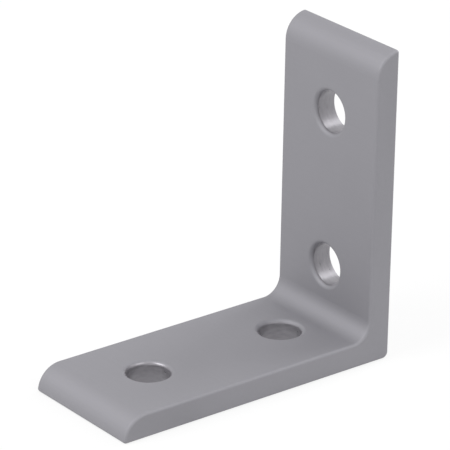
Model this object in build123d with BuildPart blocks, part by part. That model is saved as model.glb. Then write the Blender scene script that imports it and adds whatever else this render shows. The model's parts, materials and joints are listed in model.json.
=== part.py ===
from build123d import *
import os

# Inside corner bracket for slotted aluminium framing, in millimetres.
# One piece: a slice of an extruded L section, drilled for two M6 bolts in each leg,
# then tumbled and anodised.
# The foot lies along X with its seating face on Z = 0. The upright stands at the -X end,
# with its seating face towards -X. The origin is the middle of the foot's bolts, on its
# seating face.

# Bolt holes, spaced alike in both legs
bolt_pitch = 25.0  # the framing's module
first_bolt = 12.5  # from the other leg's seating face, where the framing's slot runs
tip_margin = 12.5  # from the last bolt to the leg's tip
foot_bolts = 2
upright_bolts = 2
hole_diameter = 6.6  # medium clearance for M6
rim_round = 0.7  # on the inner face's rims, where the drill goes in
rim_break = 0.3  # chamfer on the seating face's rims, where the drill comes out

# L section
thickness = 4.0
inside_fillet = 3.0
heel_radius = 1.0

# Cut and finish
width = 22.0  # length sawn off the extrusion
edge_radius = 0.5  # tumbling, on every outer edge that the section leaves sharp


def pattern_middle(bolts):
    """Distance from the heel's outer corner to the middle of a leg's bolts."""
    return first_bolt + (bolts - 1) * bolt_pitch / 2


def leg_length(bolts):
    """Distance from the heel's outer corner to a leg's tip."""
    return first_bolt + (bolts - 1) * bolt_pitch + tip_margin


foot_length = leg_length(foot_bolts)
upright_length = leg_length(upright_bolts)
heel_x = -pattern_middle(foot_bolts)

# The section is drawn from the heel's outer corner, with the foot along its first axis
section_plane = Plane(origin=(heel_x, 0, 0), x_dir=(1, 0, 0), z_dir=(0, -1, 0))

# Drilling starts on each leg's inner face, and the first axis runs along the leg
foot_face = Plane(origin=(0, 0, thickness), x_dir=(1, 0, 0), z_dir=(0, 0, 1))
upright_face = Plane(
    origin=(heel_x + thickness, 0, pattern_middle(upright_bolts)),
    x_dir=(0, 0, 1),
    z_dir=(1, 0, 0),
)

with BuildPart() as corner_bracket:
    # Each leg ends in a quarter round over its whole thickness, down to the seating face
    with BuildSketch(section_plane):
        with BuildLine():
            sole = Line((heel_radius, 0), (foot_length, 0))
            toe_round = JernArc(sole @ 1, (0, 1), thickness, 90)
            foot_top = Line(toe_round @ 1, (thickness + inside_fillet, thickness))
            corner = JernArc(foot_top @ 1, foot_top % 1, inside_fillet, -90)
            upright_front = Line(corner @ 1, (thickness, upright_length - thickness))
            head_round = JernArc(upright_front @ 1, upright_front % 1, thickness, 90)
            back = Line(head_round @ 1, (0, heel_radius))
            JernArc(back @ 1, back % 1, heel_radius, 90)
        make_face()
    extrude(amount=width / 2, both=True)

    # Tumbling rounds the sawn sides all the way round, and the sharp edge at each tip
    sawn_edges = corner_bracket.faces().filter_by(Axis.Y).edges()
    cross_edges = corner_bracket.edges().filter_by(Axis.Y)
    toe_edge = cross_edges.group_by(Axis.X)[-1]
    head_edge = cross_edges.group_by(Axis.Z)[-1]
    fillet(sawn_edges + toe_edge + head_edge, edge_radius)

    for face, bolts in ((foot_face, foot_bolts), (upright_face, upright_bolts)):
        with Locations(face):
            with GridLocations(bolt_pitch, bolt_pitch, bolts, 1):
                Hole(hole_diameter / 2, depth=thickness)
        rims = corner_bracket.edges(Select.LAST).filter_by(GeomType.CIRCLE)
        seating_rims, inner_rims = rims.group_by(Axis(face.origin, face.z_dir))
        fillet(inner_rims, rim_round)
        chamfer(seating_rims, rim_break)

corner_bracket.part.label = "corner_bracket"

os.makedirs("parts", exist_ok=True)
export_step(corner_bracket.part, "parts/corner_bracket.step")
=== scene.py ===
import json
import math

import bmesh
import bpy
from bpy.props import FloatProperty, FloatVectorProperty, PointerProperty
from mathutils import Matrix, Vector


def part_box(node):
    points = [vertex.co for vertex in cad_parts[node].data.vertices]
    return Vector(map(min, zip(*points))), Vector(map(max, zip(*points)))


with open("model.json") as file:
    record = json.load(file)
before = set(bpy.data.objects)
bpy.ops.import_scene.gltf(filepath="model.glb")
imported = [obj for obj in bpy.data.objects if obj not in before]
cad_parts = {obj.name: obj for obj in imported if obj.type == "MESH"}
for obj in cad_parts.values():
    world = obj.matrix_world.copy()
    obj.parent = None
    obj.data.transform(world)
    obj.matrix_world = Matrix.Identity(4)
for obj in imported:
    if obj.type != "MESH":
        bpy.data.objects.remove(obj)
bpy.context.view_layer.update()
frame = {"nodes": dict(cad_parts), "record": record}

bl_info = {
    "name": "Framing Corner Bracket",
    "version": (1, 0, 0),
    "blender": (4, 5, 0),
    "location": "3D View > Sidebar > Bracket",
    "description": "Finishes a drilled aluminium corner bracket and stands it in a white studio",
    "category": "Object",
}

MM = 0.001
BRACKET = "corner_bracket"
HOLES = [m for m in frame["record"]["mounts"] if m["kind"] == "bore"]
HOLE_RADIUS = max(hole["dims"]["r_mm"] for hole in HOLES) * MM

# Where the skin ends at a hole, as distances out from its wall
BARE_OUT_TO = 0.01 * MM
SKIN_IN_TO = 0.1 * MM
# The one hole that shines on its rim too, and how much further out its bare metal reaches
BRIGHT_RIM = "foot_hole_outer"
BRIGHT_RIM_REACH = 0.18 * MM
# A height above the foot and below the upright's holes
OVER_FOOT = 6 * MM

# Nearly all of a noise texture's values lie between these
NOISE_LOW, NOISE_HIGH = 0.3, 0.7
# Grain counts half against clouding, so their sum has its own range
GRAIN_SHARE = 0.5
TONE_LOW, TONE_HIGH = 0.4, 1.1
# What the textures multiply the two colours by
SKIN_DARKEST, SKIN_LIGHTEST = 0.98, 1.02
RING_DARKEST, RING_LIGHTEST = 0.85, 1.1
DIE_LINE_SPREAD = 0.01  # more or less roughness in the die lines
RING_SPREAD = 0.06  # more or less roughness in the ring marks
DIE_LINE_LENGTH = 60  # in widths of a die line
BUMP_DEPTH = 0.02 * MM
BUMP_STRENGTH = 0.15

WHITE = (1.0, 1.0, 1.0, 1.0)
UNDER_FADE = 1 * MM  # inward from the bracket's edge, over which the shade under it comes in
# Soft box, degrees round from +X, degrees above the floor, and the property that holds its light
SOFT_BOXES = (
    ("key_soft_box", -15, 45, "key_light"),
    ("side_soft_box", 100, 45, "side_light"),
    ("back_soft_box", 180, 35, "back_light"),
)


def linear(hex_colour):
    """The linear red, green and blue of an sRGB hex colour."""
    parts = [int(hex_colour[i:i + 2], 16) / 255 for i in (1, 3, 5)]
    return tuple(c / 12.92 if c <= 0.04045 else ((c + 0.055) / 1.055) ** 2.4 for c in parts)


def add_node(tree, kind, values=None, links=None, **settings):
    """Adds a node with its settings, the values of its free inputs and the links to the others."""
    made = tree.nodes.new(kind)
    for name, value in settings.items():
        setattr(made, name, value)
    for socket, value in (values or {}).items():
        made.inputs[socket].default_value = value
    for socket, source in (links or {}).items():
        tree.links.new(source, made.inputs[socket])
    return made


def new_material(name):
    """An empty material with nodes, and its node tree."""
    material = bpy.data.materials.new(name)
    material.use_nodes = True
    material.node_tree.nodes.clear()
    return material, material.node_tree


class BracketFinish(bpy.types.PropertyGroup):
    """Colours and textures of the bracket's surface."""

    anodised_colour: FloatVectorProperty(
        name="Anodised Colour", description="Clear anodising over a tumbled surface",
        subtype="COLOR", size=3, min=0, max=1, default=linear("#959499"))
    anodised_roughness: FloatProperty(
        name="Anodised Roughness", description="How widely the satin skin spreads a reflection",
        subtype="FACTOR", min=0, max=1, default=0.68)
    anodised_metallic: FloatProperty(
        name="Anodised Metallic", description="Share of the light that the skin reflects as metal",
        subtype="FACTOR", min=0, max=1, default=0.65)
    drilled_colour: FloatVectorProperty(
        name="Drilled Colour", description="Bare metal of the hole walls",
        subtype="COLOR", size=3, min=0, max=1, default=linear("#959398"))
    drilled_roughness: FloatProperty(
        name="Drilled Roughness", description="How widely the cut hole walls spread a reflection",
        subtype="FACTOR", min=0, max=1, default=0.33)
    drilled_metallic: FloatProperty(
        name="Drilled Metallic", description="Share of light that a hole wall reflects as metal",
        subtype="FACTOR", min=0, max=1, default=0.5)
    grain: FloatProperty(
        name="Tumbled Grain", description="Width of the pits that tumbling leaves",
        subtype="DISTANCE", unit="LENGTH", min=0, default=0.35 * MM)
    die_line: FloatProperty(
        name="Die Line", description="Width of the faint lines that the extrusion die leaves",
        subtype="DISTANCE", unit="LENGTH", min=0, default=0.5 * MM)
    cloud: FloatProperty(
        name="Clouding", description="Width of the slow changes of tone in the anodised skin",
        subtype="DISTANCE", unit="LENGTH", min=0, default=9 * MM)
    feed: FloatProperty(
        name="Drill Feed", description="Spacing of the ring marks on a hole wall",
        subtype="DISTANCE", unit="LENGTH", min=0, default=0.45 * MM)
    ring: FloatProperty(
        name="Ring Mark", description="Length of a ring mark round the hole wall",
        subtype="DISTANCE", unit="LENGTH", min=0, default=1.5 * MM)


class BracketStudio(bpy.types.PropertyGroup):
    """The floor, the light and the camera."""

    floor_colour: FloatVectorProperty(
        name="Floor Colour", description="Matte paper under the bracket",
        subtype="COLOR", size=3, min=0, max=1, default=linear("#F7F7F7"))
    floor_size: FloatProperty(
        name="Floor Size", description="Side of the square floor",
        subtype="DISTANCE", unit="LENGTH", min=0, default=4.0)
    shadow: FloatProperty(
        name="Shadow", description="How much of its real shadow the white floor shows",
        subtype="FACTOR", min=0, max=1, default=0.15)
    under: FloatProperty(
        name="White Under", description="Share of the white that is left under the bracket",
        subtype="FACTOR", min=0, max=1, default=0.5)
    fill: FloatProperty(
        name="Fill", description="Even light from all round, as a share of white",
        min=0, default=0.5)
    lamp_distance: FloatProperty(
        name="Lamp Distance", description="Soft boxes from the bracket",
        subtype="DISTANCE", unit="LENGTH", min=0, default=0.7)
    lamp_size: FloatProperty(
        name="Lamp Size", description="Width of each round soft box",
        subtype="DISTANCE", unit="LENGTH", min=0, default=0.5)
    key_light: FloatProperty(
        name="Key", description="Light of the soft box off the foot's tip, white being 1",
        min=0, default=0.56)
    side_light: FloatProperty(
        name="Side", description="Light of the soft box off the bracket's near side",
        min=0, default=0.24)
    back_light: FloatProperty(
        name="Back", description="Light of the soft box behind the upright",
        min=0, default=0.44)
    camera_azimuth: FloatProperty(
        name="Azimuth", description="Camera's angle round the bracket, 0 looking along +Y",
        subtype="ANGLE", unit="ROTATION", default=math.radians(141.537))
    camera_elevation: FloatProperty(
        name="Elevation", description="Camera's angle above the floor",
        subtype="ANGLE", unit="ROTATION", default=math.radians(23.363))
    camera_roll: FloatProperty(
        name="Roll", description="Camera's turn about its own line of sight",
        subtype="ANGLE", unit="ROTATION", default=math.radians(1.037))
    camera_distance: FloatProperty(
        name="Distance", description="Camera from the point it aims at",
        subtype="DISTANCE", unit="LENGTH", min=0, default=0.516986)
    camera_aim: FloatVectorProperty(
        name="Aim", description="Point at the middle of the picture",
        subtype="XYZ", unit="LENGTH", size=3, default=(-0.789 * MM, 0.874 * MM, 24.552 * MM))
    camera_lens: FloatProperty(
        name="Lens", description="Focal length in millimetres",
        unit="CAMERA", min=1, default=279.992)


def hole_distance(tree, place):
    """Distance from the nearest hole's axis, over the whole bracket. It is less round the hole
    with the bright rim, so that the bare metal reaches over that rim."""
    nearest = None
    for hole in HOLES:
        across = tuple(1.0 - abs(round(a)) for a in hole["axis"])
        flat = add_node(tree, "ShaderNodeVectorMath", {1: across}, {0: place}, operation="MULTIPLY")
        centre = tuple(p * a for p, a in zip(hole["pos_m"], across))
        away = add_node(
            tree, "ShaderNodeVectorMath", {1: centre}, {0: flat.outputs["Vector"]},
            operation="DISTANCE")
        distance = away.outputs["Value"]
        if hole["name"] == BRIGHT_RIM:
            distance = add_node(
                tree, "ShaderNodeMath", {1: BRIGHT_RIM_REACH}, {0: distance},
                operation="SUBTRACT").outputs[0]
        if nearest is not None:
            distance = add_node(
                tree, "ShaderNodeMath", links={0: nearest, 1: distance},
                operation="MINIMUM").outputs[0]
        nearest = distance
    return nearest


def anodised_aluminium(finish):
    """Extruded aluminium, tumbled and clear anodised: a satin grey skin with no sharp reflection.
    The walls of its drilled holes look like bare metal: glossier, with bands of light along them,
    and ringed by the drill's feed."""
    material, tree = new_material("tumbled_anodised_aluminium")
    place = add_node(tree, "ShaderNodeTexCoord").outputs["Object"]

    # 1 on a hole's wall and 0 on the skin, changing over the last of the rim
    drilled = add_node(
        tree, "ShaderNodeMapRange",
        {"From Min": HOLE_RADIUS + BARE_OUT_TO, "From Max": HOLE_RADIUS + SKIN_IN_TO,
         "To Min": 1.0, "To Max": 0.0},
        {"Value": hole_distance(tree, place)}, interpolation_type="SMOOTHSTEP").outputs["Result"]

    # Tumbled pits are about 0.1 mm wide, drawn coarser to show at all
    grain = add_node(
        tree, "ShaderNodeTexNoise", {"Scale": 1 / finish.grain, "Detail": 3.0, "Roughness": 0.6},
        {"Vector": place}).outputs["Fac"]
    cloud = add_node(
        tree, "ShaderNodeTexNoise", {"Scale": 1 / finish.cloud, "Detail": 2.0},
        {"Vector": place}).outputs["Fac"]
    # The profile was pushed out along Y, so the die's lines run that way
    stretched = add_node(
        tree, "ShaderNodeMapping",
        {"Scale": (
            1 / finish.die_line, 1 / (DIE_LINE_LENGTH * finish.die_line), 1 / finish.die_line)},
        {"Vector": place}).outputs["Vector"]
    die_lines = add_node(
        tree, "ShaderNodeTexNoise", {"Scale": 1.0, "Detail": 2.0},
        {"Vector": stretched}).outputs["Fac"]

    # Ring marks follow a hole's depth: Z in the foot's, X in the upright's, which are higher up
    parts = add_node(tree, "ShaderNodeSeparateXYZ", links={"Vector": place})
    upright = add_node(
        tree, "ShaderNodeMath", {1: OVER_FOOT}, {0: parts.outputs["Z"]}, operation="GREATER_THAN")
    depth = add_node(
        tree, "ShaderNodeMix",
        links={0: upright.outputs[0], 2: parts.outputs["Z"], 3: parts.outputs["X"]},
        data_type="FLOAT").outputs[0]
    # A ring mark runs a millimetre or two round the hole before it fades
    broken = add_node(
        tree, "ShaderNodeVectorMath", {"Scale": finish.feed / finish.ring}, {0: place},
        operation="SCALE").outputs["Vector"]
    rings = add_node(
        tree, "ShaderNodeTexNoise", {"Scale": 1 / finish.feed, "Detail": 3.0},
        {"Vector": broken, "W": depth}, noise_dimensions="4D").outputs["Fac"]

    tone = add_node(
        tree, "ShaderNodeMath", {1: GRAIN_SHARE}, {0: grain, 2: cloud},
        operation="MULTIPLY_ADD").outputs[0]
    skin_tone = add_node(
        tree, "ShaderNodeMapRange",
        {"From Min": TONE_LOW, "From Max": TONE_HIGH,
         "To Min": SKIN_DARKEST, "To Max": SKIN_LIGHTEST},
        {"Value": tone}).outputs["Result"]
    ring_tone = add_node(
        tree, "ShaderNodeMapRange",
        {"From Min": NOISE_LOW, "From Max": NOISE_HIGH,
         "To Min": RING_DARKEST, "To Max": RING_LIGHTEST},
        {"Value": rings}).outputs["Result"]
    skin = add_node(
        tree, "ShaderNodeVectorMath", {0: finish.anodised_colour}, {"Scale": skin_tone},
        operation="SCALE").outputs["Vector"]
    bare = add_node(
        tree, "ShaderNodeVectorMath", {0: finish.drilled_colour}, {"Scale": ring_tone},
        operation="SCALE").outputs["Vector"]
    colour = add_node(
        tree, "ShaderNodeMix", links={0: drilled, 6: skin, 7: bare},
        data_type="RGBA").outputs[2]

    skin_roughness = add_node(
        tree, "ShaderNodeMapRange",
        {"From Min": NOISE_LOW, "From Max": NOISE_HIGH,
         "To Min": finish.anodised_roughness - DIE_LINE_SPREAD,
         "To Max": finish.anodised_roughness + DIE_LINE_SPREAD},
        {"Value": die_lines}).outputs["Result"]
    bare_roughness = add_node(
        tree, "ShaderNodeMapRange",
        {"From Min": NOISE_LOW, "From Max": NOISE_HIGH,
         "To Min": finish.drilled_roughness - RING_SPREAD,
         "To Max": finish.drilled_roughness + RING_SPREAD},
        {"Value": rings}).outputs["Result"]
    roughness = add_node(
        tree, "ShaderNodeMix", links={0: drilled, 2: skin_roughness, 3: bare_roughness},
        data_type="FLOAT").outputs[0]

    height = add_node(
        tree, "ShaderNodeMix", links={0: drilled, 2: grain, 3: rings}, data_type="FLOAT").outputs[0]
    normal = add_node(
        tree, "ShaderNodeBump", {"Strength": BUMP_STRENGTH, "Distance": BUMP_DEPTH},
        {"Height": height}).outputs["Normal"]
    metallic = add_node(
        tree, "ShaderNodeMapRange",
        {"To Min": finish.anodised_metallic, "To Max": finish.drilled_metallic},
        {"Value": drilled}).outputs["Result"]
    shader = add_node(
        tree, "ShaderNodeBsdfPrincipled", links={
            "Base Color": colour, "Metallic": metallic, "Roughness": roughness, "Normal": normal})
    add_node(tree, "ShaderNodeOutputMaterial", links={"Surface": shader.outputs["BSDF"]})
    return material


class BRACKET_OT_finish(bpy.types.Operator):
    """Anodise the bracket and leave the drilled holes bright"""

    bl_idname = "bracket.finish"
    bl_label = "Finish Bracket"
    bl_options = {"REGISTER", "UNDO"}

    def execute(self, context):
        bracket = frame["nodes"][BRACKET]
        material = anodised_aluminium(context.scene.bracket_finish)
        if not bracket.material_slots:
            raise RuntimeError("the bracket has no material slot")
        for slot in bracket.material_slots:
            slot.material = material
        return {"FINISHED"}


def seen_ray(tree):
    """1 for a ray from the camera, reflected or not, and 0 for the light on matte surfaces."""
    path = add_node(tree, "ShaderNodeLightPath")
    seen = path.outputs["Is Camera Ray"]
    for ray in ("Is Glossy Ray", "Is Transmission Ray"):
        seen = add_node(
            tree, "ShaderNodeMath", links={0: seen, 1: path.outputs[ray]},
            operation="MAXIMUM").outputs[0]
    return seen


def matte_paper(studio):
    """Seamless studio paper: matte and white, with most of the bracket's shadow washed out, but
    not in the dark right under the bracket, which the holes in its foot show."""
    material, tree = new_material("white_studio_paper")
    low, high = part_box(BRACKET)
    place = add_node(tree, "ShaderNodeTexCoord").outputs["Object"]
    from_middle = add_node(
        tree, "ShaderNodeVectorMath", {1: ((low.x + high.x) / 2, (low.y + high.y) / 2, 0.0)},
        {0: place}, operation="SUBTRACT").outputs["Vector"]
    either_way = add_node(
        tree, "ShaderNodeVectorMath", links={0: from_middle},
        operation="ABSOLUTE").outputs["Vector"]
    past_edge = add_node(
        tree, "ShaderNodeVectorMath", {1: ((high.x - low.x) / 2, (high.y - low.y) / 2, 0.0)},
        {0: either_way}, operation="SUBTRACT").outputs["Vector"]
    past = add_node(tree, "ShaderNodeSeparateXYZ", links={"Vector": past_edge})
    furthest = add_node(
        tree, "ShaderNodeMath", links={0: past.outputs["X"], 1: past.outputs["Y"]},
        operation="MAXIMUM")
    outside = add_node(
        tree, "ShaderNodeMapRange",
        {"From Min": -UNDER_FADE, "From Max": 0.0, "To Min": studio.under},
        {"Value": furthest.outputs[0]})
    paper = add_node(
        tree, "ShaderNodeBsdfPrincipled",
        {"Base Color": (*studio.floor_colour, 1.0), "Roughness": 0.9, "Specular IOR Level": 0.0})
    white = add_node(tree, "ShaderNodeEmission", {"Color": WHITE, "Strength": 1.0})
    washed = add_node(
        tree, "ShaderNodeMath", {1: 1.0 - studio.shadow}, {0: outside.outputs["Result"]},
        operation="MULTIPLY")
    share = add_node(
        tree, "ShaderNodeMath", links={0: washed.outputs[0], 1: seen_ray(tree)},
        operation="MULTIPLY")
    shown = add_node(
        tree, "ShaderNodeMixShader",
        links={0: share.outputs[0], 1: paper.outputs["BSDF"], 2: white.outputs["Emission"]})
    add_node(tree, "ShaderNodeOutputMaterial", links={"Surface": shown.outputs["Shader"]})
    return material


def lay_floor(scene, studio):
    """A square sheet of paper on Z = 0."""
    mesh = bpy.data.meshes.new("studio_floor")
    sheet = bmesh.new()
    bmesh.ops.create_grid(sheet, x_segments=1, y_segments=1, size=studio.floor_size / 2)
    sheet.to_mesh(mesh)
    sheet.free()
    floor = bpy.data.objects.new("studio_floor", mesh)
    floor.data.materials.append(matte_paper(studio))
    scene.collection.objects.link(floor)


def light_world(scene, studio):
    """White behind everything that is seen directly or in the metal, and an even fill elsewhere."""
    world = bpy.data.worlds.new("white_studio")
    world.use_nodes = True
    tree = world.node_tree
    tree.nodes.clear()
    strength = add_node(
        tree, "ShaderNodeMix", {2: studio.fill, 3: 1.0}, {0: seen_ray(tree)},
        data_type="FLOAT").outputs[0]
    white = add_node(tree, "ShaderNodeBackground", {"Color": WHITE}, {"Strength": strength})
    add_node(tree, "ShaderNodeOutputWorld", links={"Surface": white.outputs["Background"]})
    scene.world = world


def hang_lamps(scene, studio):
    """Round soft boxes, all facing the middle of the bracket's height."""
    _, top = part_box(BRACKET)
    middle = Vector((0.0, 0.0, top.z / 2))
    for name, azimuth, elevation, light in SOFT_BOXES:
        turn, lift = math.radians(azimuth), math.radians(elevation)
        out = Vector((
            math.cos(turn) * math.cos(lift), math.sin(turn) * math.cos(lift), math.sin(lift)))
        lamp = bpy.data.lights.new(name, "AREA")
        lamp.shape = "DISK"
        lamp.size = studio.lamp_size
        # Power at which a surface facing the lamp gets this light at this distance
        lamp.energy = getattr(studio, light) * (math.pi * studio.lamp_distance) ** 2
        box = bpy.data.objects.new(name, lamp)
        box.matrix_world = (
            Matrix.Translation(middle + out * studio.lamp_distance)
            @ out.to_track_quat("Z", "Y").to_matrix().to_4x4())
        scene.collection.objects.link(box)


def set_camera(scene, studio):
    """The photograph's viewpoint."""
    azimuth, elevation = studio.camera_azimuth, studio.camera_elevation
    back = Vector((
        math.sin(azimuth) * math.cos(elevation),
        -math.cos(azimuth) * math.cos(elevation),
        math.sin(elevation)))
    lens = bpy.data.cameras.new("camera")
    lens.sensor_width = 36.0
    lens.lens = studio.camera_lens
    lens.clip_start, lens.clip_end = 0.01, 10.0
    camera = bpy.data.objects.new("camera", lens)
    turn = (-back).to_track_quat("-Z", "Y").to_matrix().to_4x4()
    roll = Matrix.Rotation(studio.camera_roll, 4, "Z")
    camera.matrix_world = (
        Matrix.Translation(Vector(studio.camera_aim) + back * studio.camera_distance) @ turn @ roll)
    scene.collection.objects.link(camera)
    scene.camera = camera


class BRACKET_OT_studio(bpy.types.Operator):
    """Lay the floor, hang the lamps and set the camera"""

    bl_idname = "bracket.studio"
    bl_label = "Build Studio"
    bl_options = {"REGISTER", "UNDO"}

    def execute(self, context):
        scene = context.scene
        studio = scene.bracket_studio
        lay_floor(scene, studio)
        light_world(scene, studio)
        hang_lamps(scene, studio)
        set_camera(scene, studio)
        scene.view_settings.view_transform = "Standard"
        return {"FINISHED"}


class BRACKET_PT_sidebar(bpy.types.Panel):
    """The bracket's operators, with the values that they use"""

    bl_label = "Corner Bracket"
    bl_idname = "BRACKET_PT_sidebar"
    bl_space_type = "VIEW_3D"
    bl_region_type = "UI"
    bl_category = "Bracket"

    def draw(self, context):
        for operator, settings in (
                ("bracket.finish", context.scene.bracket_finish),
                ("bracket.studio", context.scene.bracket_studio)):
            column = self.layout.column(align=True)
            column.operator(operator)
            for name in settings.__annotations__:
                column.prop(settings, name)


CLASSES = (BracketFinish, BracketStudio, BRACKET_OT_finish, BRACKET_OT_studio, BRACKET_PT_sidebar)


def register():
    for cls in CLASSES:
        bpy.utils.register_class(cls)
    bpy.types.Scene.bracket_finish = PointerProperty(type=BracketFinish)
    bpy.types.Scene.bracket_studio = PointerProperty(type=BracketStudio)


def unregister():
    del bpy.types.Scene.bracket_studio
    del bpy.types.Scene.bracket_finish
    for cls in reversed(CLASSES):
        bpy.utils.unregister_class(cls)


def main():
    register()
    bpy.ops.bracket.finish()
    bpy.ops.bracket.studio()


if __name__ == "__main__":
    main()
